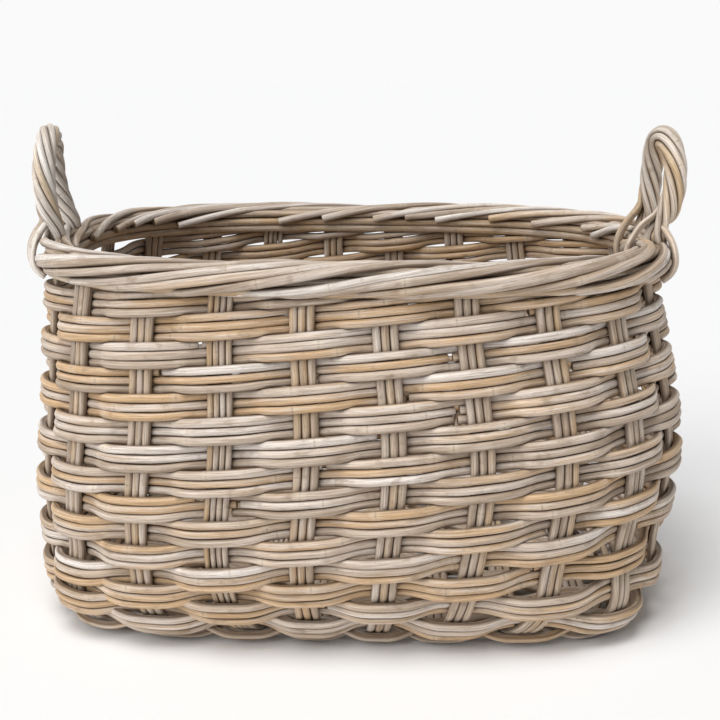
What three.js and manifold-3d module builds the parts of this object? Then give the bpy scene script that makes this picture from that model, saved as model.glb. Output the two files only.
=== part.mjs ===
// A woven rattan basket with a rolled border and two roped ear handles.
// Millimetres, +Z up, +X along the basket, -Y to the front. The origin is on the floor under the middle.
//
// Stakes run down one wall, across the base and up the opposite wall. Weavers pass in front of and behind
// the stakes in turn, each row opposite to the last. Every stake and weaver is a flat bundle of rods.

import * as THREE from 'three';
import { mergeVertices } from 'three/addons/utils/BufferGeometryUtils.js';
import Module from 'manifold-3d';

const wasm = await Module();
wasm.setup();

// Rods
const ROD = 7.2; // diameter of one rod
const RODS_IN_BUNDLE = 3;
const CLEARANCE = 0.3; // between pieces that touch
const ROW_GAP = 1; // between one row of weaving and the next

// Wall, measured on the middle surface of the stakes
const BULGE_HALF_LENGTH = 302.5;
const BULGE_HEIGHT = 152;
const TOP_HALF_LENGTH = 279;
const TOP_HEIGHT = 347;
const BASE_HALF_LENGTH = 254; // where the stakes fan out and start to turn up
const LENGTH_OVER_DEPTH = 68; // how much longer the wall is than deep, on each side of the middle
const BASE_LENGTH_OVER_DEPTH = 83; // and the flat base, which is narrower
const DEPTH_EASE = 110; // height over which the one passes into the other
const SQUARENESS = 2.9; // exponent of the plan's superellipse
const BASE_SQUARENESS = 5.3; // and at the base, whose corners are squarer
const SQUARENESS_EASE = 90; // height over which the one passes into the other
const SWAY = 7; // how far the wall stands to the right, at most, between these heights
const SWAY_START = 66;
const SWAY_END = 318;
const BASE_BEND_REACH = 33;
const LOWER_BULGE_RISE = 72;
const UPPER_BULGE_RISE = 48;
const TOP_LEAN = 5; // how far the last stretch under the border leans in
const TOP_LEAN_RISE = 49;

// Weave
const STAKES = 24; // up-going stakes all round, in opposite pairs
const END_STAKES = 4; // of them, those on each short end
const FOOT_START = 3; // along the wall from the edge of the flat base
const FOOT_RODS = 2;
const ROW_COUNT = 14; // rows of weaving between the foot and the border, in the middle of a long side
const ROW_TILT = 1.28; // how many rows higher a row stands at the right end than in the middle
const TILTING_ROWS = 3; // rows over which the tilt builds up
const BASE_FILL = 0.78; // share of the space between lengthwise stakes that a base weaver fills
const WEAVER_TAIL = 16; // how far a base weaver runs on past the last stake that it crosses

// Border
const BORDER_HEIGHT = 25; // of the inner and outer rolls
const OUTER_ROLL = 16;
const INNER_ROLL = 14;
const TOP_ROLL_WIDTH = 24;
const TOP_ROLL_HEIGHT = 10;
const ROLL_ROUNDING = 5.5;

// Handles
const NEAR_LEG = 0.7; // place of the front leg between its two stakes
const FAR_LEG = 0.83; // place of the back leg between the next two stakes
const HANDLE_RISE = 87.5; // from the border to the middle of the top
const HANDLE_THICKNESS = 23;
const HANDLE_ROUNDNESS = 2.5;
const LEAN_STEEPNESS = 2.5; // the higher, the nearer to the feet a handle leans out
const LEFT_LEAN = 26;
const RIGHT_LEAN = 25.5;
const LEFT_TURN = -3; // how much further out the front leg stands than the middle
const RIGHT_TURN = 8.5;
const CORE_SIDES = 8;
const HANDLE_STEPS = 26;
const LASHING_WIDTH = 14;
const LASHING_THICKNESS = 5;
const LASHING_GAP = 0.6;

// Sizes that follow from those
const BUNDLE = ROD * RODS_IN_BUNDLE;
const SWING = ROD + CLEARANCE; // from the middle of a stake to the middle of what crosses it
const CROSSING = BUNDLE / 2 + ROD / 6; // half the straight stretch where two bundles cross
const BASE_HEIGHT = SWING + ROD / 2;
const FOOT_PITCH = ROD + ROW_GAP;
const FIRST_ROW = FOOT_START + FOOT_RODS * FOOT_PITCH;

// Straw-grey rattan, a little different from piece to piece
const RATTAN = [0x9d8b78, 0xa3917e, 0x968471, 0xa89482];

function rattan(shade) {
  const color = RATTAN[shade % RATTAN.length];
  return new THREE.MeshStandardMaterial({ color, roughness: 0.7, metalness: 0 });
}

// The wall's profile: half-length across, height up, from the flat base to the top of the stakes
const profile = new THREE.CurvePath();
profile.add(
  new THREE.CubicBezierCurve(
    new THREE.Vector2(BASE_HALF_LENGTH, BASE_HEIGHT),
    new THREE.Vector2(BASE_HALF_LENGTH + BASE_BEND_REACH, BASE_HEIGHT),
    new THREE.Vector2(BULGE_HALF_LENGTH, BULGE_HEIGHT - LOWER_BULGE_RISE),
    new THREE.Vector2(BULGE_HALF_LENGTH, BULGE_HEIGHT)
  )
);
profile.add(
  new THREE.CubicBezierCurve(
    new THREE.Vector2(BULGE_HALF_LENGTH, BULGE_HEIGHT),
    new THREE.Vector2(BULGE_HALF_LENGTH, BULGE_HEIGHT + UPPER_BULGE_RISE),
    new THREE.Vector2(TOP_HALF_LENGTH + TOP_LEAN, TOP_HEIGHT - TOP_LEAN_RISE),
    new THREE.Vector2(TOP_HALF_LENGTH, TOP_HEIGHT)
  )
);
profile.curves.forEach((curve) => (curve.arcLengthDivisions = 400));
const PROFILE_LENGTH = profile.getLength();
const WALL_TOP = PROFILE_LENGTH - BORDER_HEIGHT;
const ROW_PITCH = (WALL_TOP - FIRST_ROW) / ROW_COUNT;

// Half-length and height at a distance up the wall; past the ends the profile goes straight on
function profileAt(up) {
  const inside = THREE.MathUtils.clamp(up, 0, PROFILE_LENGTH);
  const point = profile.getPointAt(inside / PROFILE_LENGTH);
  if (inside !== up) {
    const ahead = profile.getTangentAt(inside / PROFILE_LENGTH);
    point.addScaledVector(ahead, up - inside);
  }
  const eased = THREE.MathUtils.smoothstep(point.y, 0, DEPTH_EASE);
  const longer = THREE.MathUtils.lerp(BASE_LENGTH_OVER_DEPTH, LENGTH_OVER_DEPTH, eased);
  return { halfLength: point.x, halfDepth: point.x - longer, height: point.y };
}

function swayAt(height) {
  const share = THREE.MathUtils.clamp((height - SWAY_START) / (SWAY_END - SWAY_START), 0, 1);
  return (SWAY * (1 - Math.cos(2 * Math.PI * share))) / 2;
}

function wallPoint(angle, up) {
  const { halfLength, halfDepth, height } = profileAt(up);
  const rounded = THREE.MathUtils.smoothstep(height, 0, SQUARENESS_EASE);
  const power = THREE.MathUtils.lerp(BASE_SQUARENESS, SQUARENESS, rounded);
  const across = Math.abs(Math.cos(angle) / halfLength) ** power;
  const along = Math.abs(Math.sin(angle) / halfDepth) ** power;
  const reach = (across + along) ** (-1 / power);
  return new THREE.Vector3(reach * Math.cos(angle) + swayAt(height), reach * Math.sin(angle), height);
}

// A place on the wall with its directions: round the basket, up the wall and outward. Up and outward
// slope alike all round, so the edges of neighbouring rows stay side by side where they cross.
function wallFrame(angle, up) {
  const small = 1e-3;
  const round = wallPoint(angle + small, up).sub(wallPoint(angle - small, up)).normalize();
  const away = new THREE.Vector3(round.y, -round.x, 0);
  const { halfLength, height } = profileAt(up + small);
  const below = profileAt(up - small);
  const slope = new THREE.Vector2(halfLength - below.halfLength, height - below.height).normalize();
  const rise = away.clone().multiplyScalar(slope.x).setZ(slope.y);
  const out = away.clone().multiplyScalar(slope.y).setZ(-slope.x);
  return { point: wallPoint(angle, up), round, rise, out };
}

// Angles that share the wall's girth out evenly, half a space off the middle of each side.
// One quarter is measured and mirrored, so the basket is the same on both sides of its middle lines.
function stakeAngles() {
  const steps = 2000;
  const bulge = profile.curves[0].getLength();
  const quarter = [];
  for (let i = 0; i <= steps; i++) quarter.push(wallPoint((i / steps) * (Math.PI / 2), bulge));
  const girth = [0];
  for (let i = 1; i <= steps; i++) girth.push(girth[i - 1] + quarter[i].distanceTo(quarter[i - 1]));
  const angles = [];
  for (let stake = 0; stake < STAKES / 4; stake++) {
    const wanted = ((stake + 0.5) / (STAKES / 4)) * girth[steps];
    const step = girth.findIndex((length) => length >= wanted);
    angles.push((step / steps) * (Math.PI / 2));
  }
  const left = angles.map((angle) => Math.PI - angle).reverse();
  const half = [...angles, ...left];
  return [...half, ...half.map((angle) => 2 * Math.PI - angle).reverse()];
}
const ANGLES = stakeAngles();

// A point beside a stake, in the stake's own directions, so that flat faces there stay parallel
function besideStake(stake, up, round, out) {
  const frame = wallFrame(ANGLES[(stake + STAKES) % STAKES], up);
  return frame.point.addScaledVector(frame.round, round).addScaledVector(frame.out, out);
}

// A point between a stake and the next, on the straight line between their crossings
function betweenStakes(stake, share, up, out) {
  const start = besideStake(stake, up, CROSSING, out);
  return start.lerp(besideStake(stake + 1, up, -CROSSING, out), share);
}

// Makes a closed solid's geometry face outward
function closedGeometry(points, triangles) {
  const volume = triangles.reduce((sum, [a, b, c]) => {
    return sum + points[a].dot(points[b].clone().cross(points[c]));
  }, 0);
  const outward = volume > 0 ? triangles : triangles.map(([a, b, c]) => [a, c, b]);
  const geometry = new THREE.BufferGeometry();
  const numbers = points.flatMap((point) => point.toArray());
  geometry.setAttribute('position', new THREE.Float32BufferAttribute(numbers, 3));
  geometry.setIndex(outward.flat());
  geometry.computeVertexNormals();
  return geometry;
}

// Joins a row of like sections into side faces
function sideTriangles(count, corners, closed, first = 0) {
  const triangles = [];
  const spans = closed ? count : count - 1;
  for (let i = 0; i < spans; i++) {
    const here = first + i * corners;
    const next = first + ((i + 1) % count) * corners;
    for (let j = 0; j < corners; j++) {
      const k = (j + 1) % corners;
      triangles.push([here + j, next + j, next + k], [here + j, next + k, here + k]);
    }
  }
  return triangles;
}

// A solid through sections of equal corner count, with flat ends unless it closes on itself
function sweep(sections, closed = false) {
  const corners = sections[0].length;
  const triangles = sideTriangles(sections.length, corners, closed);
  if (!closed) {
    const last = (sections.length - 1) * corners;
    for (let j = 1; j < corners - 1; j++) {
      triangles.push([0, j, j + 1], [last, last + j + 1, last + j]);
    }
  }
  return closedGeometry(sections.flat(), triangles);
}

// A pipe: an outer and an inner row of sections, joined by a ring at each end
function pipe(outer, inner) {
  const corners = outer[0].length;
  const count = outer.length;
  const innerStart = count * corners;
  const triangles = sideTriangles(count, corners, false);
  for (const [a, b, c] of sideTriangles(count, corners, false, innerStart)) triangles.push([a, c, b]);
  for (const end of [0, count - 1]) {
    for (let j = 0; j < corners; j++) {
      const k = (j + 1) % corners;
      const a = end * corners;
      const b = innerStart + a;
      const ring = [[a + j, a + k, b + k], [a + j, b + k, b + j]];
      for (const [p, q, r] of ring) triangles.push(end === 0 ? [p, q, r] : [p, r, q]);
    }
  }
  return closedGeometry([...outer.flat(), ...inner.flat()], triangles);
}

const basket = new THREE.Group();

function addPiece(name, geometry) {
  const mesh = new THREE.Mesh(geometry, rattan(basket.children.length));
  mesh.name = name;
  basket.add(mesh);
}

function twoDigits(number) {
  return String(number).padStart(2, '0');
}

// Rows of weaving

// Whether a row passes a stake on its outside, 1, or its inside, -1. The foot's rods count as rows too.
function weaverSide(row, stake) {
  return (row + FOOT_RODS + stake) % 2 === 0 ? -1 : 1;
}

// Distance up the wall of the lower edge of a row, at a stake
function rowEdge(row, stake) {
  const share = Math.min(1, row / TILTING_ROWS);
  const place = wallPoint(ANGLES[(stake + STAKES) % STAKES], WALL_TOP).x / TOP_HALF_LENGTH;
  return FIRST_ROW + ROW_PITCH * (row + share * ROW_TILT * place);
}

function rowLimits(row, stake) {
  const low = rowEdge(row, stake) + ROW_GAP / 2;
  const high = Math.min(rowEdge(row + 1, stake), WALL_TOP) - ROW_GAP / 2;
  return { low, high };
}

function rowFits(row, stake) {
  const { low, high } = rowLimits(row, stake);
  return high - low >= ROW_PITCH / RODS_IN_BUNDLE;
}

// A weaver's section beside a stake: a flat bundle, outside or inside the stake. Its corners run so
// that the twisted face against the stake is split along the same diagonal as the stake's own.
function weaverSection(stake, round, side, { low, high }) {
  const outer = side * SWING + ROD / 2;
  const inner = side * SWING - ROD / 2;
  return [
    besideStake(stake, high, round, inner),
    besideStake(stake, high, round, outer),
    besideStake(stake, low, round, outer),
    besideStake(stake, low, round, inner)
  ];
}

// A row round the wall. It closes where it fits at every stake, and else runs out under the border.
function wallWeaver(row) {
  const fits = ANGLES.map((_, stake) => rowFits(row, stake));
  const closed = fits.every(Boolean);
  const starts = (fit, stake) => fit && !fits[(stake + STAKES - 1) % STAKES];
  const first = closed ? 0 : fits.findIndex(starts);
  const sections = [];
  for (let i = 0; i < fits.filter(Boolean).length; i++) {
    const stake = (first + i) % STAKES;
    const side = weaverSide(row, stake);
    for (const round of [-CROSSING, CROSSING]) {
      sections.push(weaverSection(stake, round, side, rowLimits(row, stake)));
    }
  }
  return sweep(sections, closed);
}

let rows = 0;
while (ANGLES.some((_, stake) => rowFits(rows, stake))) {
  addPiece(`wall_weaver_${twoDigits(rows + 1)}`, wallWeaver(rows));
  rows += 1;
}

// Single rods woven round the turn of the base
for (let rod = 0; rod < FOOT_RODS; rod++) {
  const low = FOOT_START + rod * FOOT_PITCH + ROW_GAP / 2;
  const sections = [];
  for (let stake = 0; stake < STAKES; stake++) {
    const side = weaverSide(rod - FOOT_RODS, stake);
    for (const round of [-CROSSING, CROSSING]) {
      sections.push(weaverSection(stake, round, side, { low, high: low + ROD }));
    }
  }
  addPiece(`foot_rod_${rod + 1}`, sweep(sections, true));
}

// Stakes

// Places up the wall where a stake bends: at the edges of the rows that cross it
function stakeStations(stake) {
  const stations = [0];
  for (let rod = 0; rod < FOOT_RODS; rod++) stations.push(FOOT_START + rod * FOOT_PITCH);
  for (let row = 0; row < rows && rowEdge(row, stake) < WALL_TOP - ROW_GAP; row++) {
    stations.push(rowEdge(row, stake));
  }
  return [...stations, WALL_TOP, PROFILE_LENGTH - CLEARANCE];
}

function stakeSection(centre, round, out, width = BUNDLE) {
  const corners = [[-1, -1], [1, -1], [1, 1], [-1, 1]];
  return corners.map(([across, through]) => {
    const point = centre.clone().addScaledVector(round, (across * width) / 2);
    return point.addScaledVector(out, (through * ROD) / 2);
  });
}

// The part of a stake on one wall, from the base up. The other wall's turns its width round to match.
function wallSections(stake, turned) {
  return stakeStations(stake).map((up) => {
    const { point, round, out } = wallFrame(ANGLES[stake], up);
    return stakeSection(point, turned ? round.negate() : round, out);
  });
}

const DOWN = new THREE.Vector3(0, 0, -1);

// How far from the middle a cross stake stays straight before it turns towards its foot
function straightReach(foot) {
  return Math.abs(foot.y) - CROSSING;
}

// Front-to-back stakes lie straight across the base
function crossStake(front, back) {
  const foot = wallPoint(ANGLES[front], 0);
  const width = new THREE.Vector3(1, 0, 0);
  const flat = [-1, 1].map((end) => {
    return stakeSection(new THREE.Vector3(foot.x, end * straightReach(foot), BASE_HEIGHT), width, DOWN);
  });
  return sweep([...wallSections(front, false).reverse(), ...flat, ...wallSections(back, true)]);
}

// The front wall's stakes, each with the back wall's stake that it reaches
const sideStakes = STAKES / 2 - END_STAKES;
const crossPairs = [];
for (let i = 0; i < sideStakes; i++) {
  const front = STAKES - END_STAKES / 2 - sideStakes + i;
  crossPairs.push([front, STAKES - 1 - front]);
}
crossPairs.forEach(([front, back], i) => addPiece(`cross_stake_${i + 1}`, crossStake(front, back)));
const crossFeet = crossPairs.map(([front]) => wallPoint(ANGLES[front], 0));

function baseSection(x, y, height, width) {
  return stakeSection(new THREE.Vector3(x, y, height), new THREE.Vector3(0, -1, 0), DOWN, width);
}

// A row along the base, over and under the cross stakes that are still flat where it meets them
function baseRow(y, startsOver, width) {
  const sections = [];
  crossFeet.forEach((foot, i) => {
    if (straightReach(foot) < Math.abs(y) + width / 2) return;
    const over = (i % 2 === 0) === startsOver;
    const height = BASE_HEIGHT + (over ? SWING : -SWING);
    for (const side of [-CROSSING, CROSSING]) {
      sections.push(baseSection(foot.x + side, y, height, width));
    }
  });
  return sections;
}

// Lengthwise stakes weave through the cross stakes on the base
function lengthStake(left, right) {
  const row = baseRow(wallPoint(ANGLES[right], 0).y, false, BUNDLE);
  return sweep([...wallSections(left, false).reverse(), ...row, ...wallSections(right, true)]);
}

const lengthFeet = [];
for (let i = 0; i < END_STAKES; i++) {
  const right = (STAKES - END_STAKES / 2 + i) % STAKES;
  const left = (STAKES + STAKES / 2 - 1 - right) % STAKES;
  lengthFeet.push(wallPoint(ANGLES[right], 0).y);
  addPiece(`length_stake_${i + 1}`, lengthStake(left, right));
}

// Base weavers fill the spaces between the lengthwise stakes and out to where the base turns up
const baseReach = straightReach(crossFeet[1]);
const spaceStarts = [-baseReach, ...lengthFeet.map((y) => y + BUNDLE / 2)];
const spaceEnds = [...lengthFeet.map((y) => y - BUNDLE / 2), baseReach];
spaceStarts.forEach((start, i) => {
  const row = baseRow((start + spaceEnds[i]) / 2, true, BASE_FILL * (spaceEnds[i] - start));
  const moved = (section, x) => section.map((corner) => corner.clone().setX(corner.x + x));
  const tails = [moved(row[0], -WEAVER_TAIL), moved(row.at(-1), WEAVER_TAIL)];
  addPiece(`base_weaver_${i + 1}`, sweep([tails[0], ...row, tails[1]]));
});

// Border: rolls of rods outside, inside and over the tops of the stakes

const SLOT = ROD / 2 + CLEARANCE;

// A roll's section: points out from the stakes and up from the wall's top
function rollOutline(out, low, high) {
  const far = SLOT + out;
  const near = far - ROLL_ROUNDING;
  return [
    [SLOT, low],
    [near, low],
    [far, low + ROLL_ROUNDING],
    [far, high - ROLL_ROUNDING],
    [near, high],
    [SLOT, high]
  ];
}

const rollTop = BORDER_HEIGHT - CLEARANCE;
const capLow = BORDER_HEIGHT;
const capHigh = BORDER_HEIGHT + TOP_ROLL_HEIGHT;
const capSide = TOP_ROLL_WIDTH / 2;
const outerOutline = rollOutline(OUTER_ROLL, CLEARANCE, rollTop);
const innerOutline = rollOutline(INNER_ROLL, CLEARANCE, rollTop).map(([out, up]) => [-out, up]);
const capOutline = [
  [-capSide, capLow],
  [capSide, capLow],
  [capSide, capHigh - ROLL_ROUNDING],
  [capSide - ROLL_ROUNDING / 2, capHigh],
  [-capSide + ROLL_ROUNDING / 2, capHigh],
  [-capSide, capHigh - ROLL_ROUNDING]
];

function borderRoll(outline) {
  const sections = [];
  for (let stake = 0; stake < STAKES; stake++) {
    for (const round of [-CROSSING, CROSSING]) {
      sections.push(outline.map(([out, up]) => besideStake(stake, WALL_TOP + up, round, out)));
    }
  }
  return sweep(sections, true);
}

// Handles

// A smooth arch over two feet, which leans out and is turned by set amounts
class Bow extends THREE.Curve {
  constructor(near, far, up, out, lean, turn) {
    super();
    Object.assign(this, { near, far, up, out, lean, turn });
  }
  getPoint(t) {
    const angle = Math.PI * t;
    const power = 2 / HANDLE_ROUNDNESS;
    const side = Math.sign(Math.cos(angle)) * Math.abs(Math.cos(angle)) ** power;
    const share = Math.abs(Math.sin(angle)) ** power;
    const point = this.near.clone().lerp(this.far, (1 - side) / 2);
    point.addScaledVector(this.up, HANDLE_RISE * share);
    const leant = 1 - (1 - share) ** LEAN_STEEPNESS;
    return point.addScaledVector(this.out, (this.lean + this.turn * side) * leant);
  }
}

// The direction along a row of points at one of them
function directionAt(points, i) {
  const next = points[Math.min(i + 1, points.length - 1)];
  return next.clone().sub(points[Math.max(i - 1, 0)]).normalize();
}

// Round sections at a row of points, each square to its own direction
function roundSections(points, ways, out, radius) {
  return points.map((point, i) => {
    const side = out.clone().addScaledVector(ways[i], -out.dot(ways[i])).normalize();
    const other = ways[i].clone().cross(side);
    return Array.from({ length: CORE_SIDES }, (_, j) => {
      const angle = ((j + 0.5) / CORE_SIDES) * 2 * Math.PI;
      const corner = point.clone().addScaledVector(side, radius * Math.cos(angle));
      return corner.addScaledVector(other, radius * Math.sin(angle));
    });
  });
}

// The length of the space between a stake's crossing and the next stake's, along the top of the wall
function spaceAfter(stake) {
  const start = besideStake(stake, WALL_TOP, CROSSING, 0);
  return start.distanceTo(besideStake(stake + 1, WALL_TOP, -CROSSING, 0));
}

// A place on the border: so far round it from where a stake's crossing ends, and so far up and out
function onBorder(stake, distance, up, out) {
  const space = spaceAfter(stake);
  if (distance < 0) return besideStake(stake, WALL_TOP + up, CROSSING + distance, out);
  if (distance > space) return besideStake(stake + 1, WALL_TOP + up, distance - space - CROSSING, out);
  return betweenStakes(stake, distance / space, WALL_TOP + up, out);
}

// The rods that lace a leg down: a band over the border, turned in under it on both sides
function lashingSections(stake, distance) {
  const hook = SWING + ROD / 2 + 2 * CLEARANCE; // just clear of the top row
  const right = [[hook, CLEARANCE], ...outerOutline.slice(1, 5)];
  const left = [[-hook, CLEARANCE], ...innerOutline.slice(1, 5)];
  const corners = [...right, ...capOutline.slice(2), ...left.reverse()];
  const path = corners.map(([out, up]) => new THREE.Vector2(out, up));
  return path.map((point, i) => {
    const along = directionAt(path, i);
    const away = new THREE.Vector2(along.y, -along.x);
    const inner = point.clone().addScaledVector(away, LASHING_GAP);
    const outer = point.clone().addScaledVector(away, LASHING_GAP + LASHING_THICKNESS);
    const corner = (place, round) => onBorder(stake, distance + round, place.y, place.x);
    const half = LASHING_WIDTH / 2;
    return [corner(inner, -half), corner(outer, -half), corner(outer, half), corner(inner, half)];
  });
}

function mirrored(sections) {
  return sections.map((section) => section.map((point) => point.clone().setX(-point.x)));
}

// The right end's legs stand in the two spaces before its second stake, and the left end mirrors it
const nearSpace = STAKES - 2;
const farSpace = STAKES - 1;
const nearDistance = NEAR_LEG * spaceAfter(nearSpace);
const farDistance = FAR_LEG * spaceAfter(farSpace);
const legs = [[nearSpace, nearDistance], [farSpace, farDistance]];
const lashingOffset = HANDLE_THICKNESS / 2 + CLEARANCE + LASHING_WIDTH / 2;

// One handle: a bow of rod held in the border, the rods roped round it, and a lashing beside each foot
function addHandle(side, place, lean, turn) {
  const sockets = legs.map(([stake, distance]) => onBorder(stake, distance, 2 * CLEARANCE, 0));
  const tops = legs.map(([stake, distance]) => onBorder(stake, distance, capHigh + CLEARANCE, 0));
  const up = tops[0].clone().sub(sockets[0]).normalize();
  const out = tops[1].clone().sub(tops[0]).normalize().cross(up).normalize();
  const down = up.clone().negate();
  const bow = new Bow(tops[0], tops[1], up, out, lean, turn);
  const points = bow.getSpacedPoints(HANDLE_STEPS);
  const ways = [up, ...points.slice(1, -1).map((_, i) => directionAt(points, i + 1)), down];
  const whole = [sockets[0], ...points, sockets[1]];
  const inner = place(roundSections(points, ways, out, ROD / 2 + CLEARANCE));
  const outer = place(roundSections(points, ways, out, HANDLE_THICKNESS / 2));
  addPiece(`${side}_handle_bow`, sweep(place(roundSections(whole, [up, ...ways, down], out, ROD / 2))));
  addPiece(`${side}_handle_roping`, pipe(outer, inner));
  const front = lashingSections(nearSpace, nearDistance - lashingOffset);
  const back = lashingSections(farSpace, farDistance + lashingOffset);
  addPiece(`${side}_handle_front_lashing`, sweep(place(front)));
  addPiece(`${side}_handle_back_lashing`, sweep(place(back)));
  return sockets.map((socket, i) => {
    const beyond = tops[i].clone().lerp(socket, -1);
    const way = beyond.clone().sub(socket).normalize();
    return sweep(place(roundSections([socket, beyond], [way, way], out, ROD / 2 + CLEARANCE)));
  });
}

const holes = [
  ...addHandle('left', mirrored, LEFT_LEAN, LEFT_TURN),
  ...addHandle('right', (sections) => sections, RIGHT_LEAN, RIGHT_TURN)
];

// Cuts other solids out of one
function toSolid(geometry) {
  const bare = geometry.clone();
  bare.deleteAttribute('normal');
  const merged = mergeVertices(bare);
  const vertProperties = merged.attributes.position.array;
  const triVerts = new Uint32Array(merged.index.array);
  return new wasm.Manifold(new wasm.Mesh({ numProp: 3, vertProperties, triVerts }));
}

function cut(geometry, tools) {
  const left = tools.reduce((solid, tool) => solid.subtract(toSolid(tool)), toSolid(geometry)).getMesh();
  const result = new THREE.BufferGeometry();
  result.setAttribute('position', new THREE.Float32BufferAttribute(left.vertProperties, 3));
  result.setIndex(Array.from(left.triVerts));
  result.computeVertexNormals();
  return result;
}

addPiece('border_outer_roll', borderRoll(outerOutline));
addPiece('border_inner_roll', borderRoll(innerOutline));
addPiece('border_top_roll', cut(borderRoll(capOutline), holes));

// The swaying wall stands to the right of the base, so the origin is set under the middle of the whole.
const whole = new THREE.Box3().setFromObject(basket);
const middle = (whole.min.x + whole.max.x) / 2;
for (const piece of basket.children) piece.geometry.translate(-middle, 0, 0);

export default basket;
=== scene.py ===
import math

import bpy
import numpy as np
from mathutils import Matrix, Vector


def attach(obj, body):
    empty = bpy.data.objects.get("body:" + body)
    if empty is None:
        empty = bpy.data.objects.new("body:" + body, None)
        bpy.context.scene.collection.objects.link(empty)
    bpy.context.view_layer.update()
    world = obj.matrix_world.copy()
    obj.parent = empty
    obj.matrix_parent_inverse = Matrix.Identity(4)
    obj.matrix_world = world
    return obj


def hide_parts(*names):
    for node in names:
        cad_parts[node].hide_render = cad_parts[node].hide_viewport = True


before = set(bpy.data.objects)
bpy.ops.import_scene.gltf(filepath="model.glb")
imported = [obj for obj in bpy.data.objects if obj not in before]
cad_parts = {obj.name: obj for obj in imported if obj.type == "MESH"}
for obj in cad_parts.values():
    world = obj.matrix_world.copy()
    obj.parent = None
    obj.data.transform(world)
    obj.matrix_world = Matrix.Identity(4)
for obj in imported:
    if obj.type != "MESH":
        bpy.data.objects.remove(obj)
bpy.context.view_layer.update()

# Sizes in millimetres, the same as the solids'

# Rods
ROD = 7.2
RODS_IN_BUNDLE = 3
CLEARANCE = 0.3
ROW_GAP = 1

# The wall's profile, from the base through the bulge to the top
BULGE_HALF_LENGTH = 302.5
BULGE_HEIGHT = 152
TOP_HALF_LENGTH = 279
TOP_HEIGHT = 347
BASE_HALF_LENGTH = 254
BASE_BEND_REACH = 33
LOWER_BULGE_RISE = 72
UPPER_BULGE_RISE = 48
TOP_LEAN = 5
TOP_LEAN_RISE = 49

# The outline seen from above
LENGTH_OVER_DEPTH = 68  # the half-length less the half-depth
BASE_LENGTH_OVER_DEPTH = 83  # and the same at the base
DEPTH_EASE = 110  # height at which the one has passed into the other
SQUARENESS = 2.9  # 2 is an ellipse
BASE_SQUARENESS = 5.3
SQUARENESS_EASE = 90
SWAY = 7  # how far the wall's middle stands to the right
SWAY_START = 66
SWAY_END = 318

# Stakes and rows
STAKES = 24
END_STAKES = 4
FOOT_START = 3
FOOT_RODS = 2
ROW_COUNT = 14
ROW_TILT = 1.28  # how many rows higher a row stands at the right end than in the middle
TILTING_ROWS = 3  # rows over which the tilt builds up
BASE_FILL = 0.78
WEAVER_TAIL = 16
BORDER_HEIGHT = 25
TOP_ROLL_HEIGHT = 10

# Handles
NEAR_LEG = 0.7  # place of the near leg between its two stakes
FAR_LEG = 0.83  # place of the far leg between the next two
HANDLE_RISE = 87.5
HANDLE_THICKNESS = 23
HANDLE_ROUNDNESS = 2.5
LEAN_STEEPNESS = 2.5
LEFT_LEAN = 26
RIGHT_LEAN = 25.5
LEFT_TURN = -3  # how much further out the near leg stands than the middle
RIGHT_TURN = 8.5
ORIGIN_SHIFT = 4.725  # the whole is moved this far to the left in the end

# Sizes that follow from those
BUNDLE = ROD * RODS_IN_BUNDLE
SWING = ROD + CLEARANCE
CROSSING = BUNDLE / 2 + ROD / 6
BASE_HEIGHT = SWING + ROD / 2
FOOT_PITCH = ROD + ROW_GAP
FIRST_ROW = FOOT_START + FOOT_RODS * FOOT_PITCH
CAP_TOP = BORDER_HEIGHT + TOP_ROLL_HEIGHT

# Sizes of the detail that the solids leave out

# Every rod
SIDES = 12  # faces round it
RING_STEP = 4.5  # between its rings
PATH_STEP = 4.0  # between the points of a stake's or a bow's path
PATH_SMOOTHING = 3  # points on each side over which a path is evened out
OUT_SPACING = 70  # between its bends outward
SIDE_SPACING = 55  # and sideways
LOOSE = 0.25  # how far these bends go
CLOSE = 0.2  # the same where rods are packed
BOW_LOOSE = 0.05  # and inside a handle's roping
STRAIGHT_END = 20  # length over which the bends begin
SWELL_SPACING = 80
SWELL = 0.05  # share by which its thickness varies
KNOT_SPACING = (150, 330)
KNOT_LENGTH = 4
KNOT_SWELL = 0.06
LIP = 0.82  # radius inside the rounded edge of a cut end, as a share
LIP_OUT = 0.14  # how far that edge stands out
CUT_OUT = 0.1  # and the middle of the cut
STRIP_GAP = 1.5  # between the strips of the unrolled rods

# Weave
PER_STAKE = 30  # points of a row from stake to stake
WEAVER_ROD = ROD + 0.6
WEAVER_SPREAD = (0.93, 1.07)
JOINT_SPREAD = 8  # points by which a joint lies beside its stake
ROW_SPREAD = 0.06  # share by which a row is wider at the stakes
UNDER_BORDER = 9  # how far a rod may run on under the border
HIDDEN_LENGTH = 8  # over which its waves flatten there
HIDDEN_STRAIGHTER = 0.6  # by this share
WEAVER_INWARD = 0.7  # how much less a rod swings than the solids' bands
STAKE_INWARD = 0.3  # how far a stake's rods are moved to the inside
STAKE_SPREAD = (0.98, 1.06)
FOUR_RODS = 0.2  # share of the stakes that hold four rods
BASE_ROW_RODS = 5
BASE_ROD = ROD * 0.98
BASE_STEP = 3.0
BASE_POINTS = 60
BASE_LIFT = 0.2  # how far the rods under the base stay above the floor
FLAT_SHARE = 0.7  # part of a crossing on the base that a row passes flat

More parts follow.
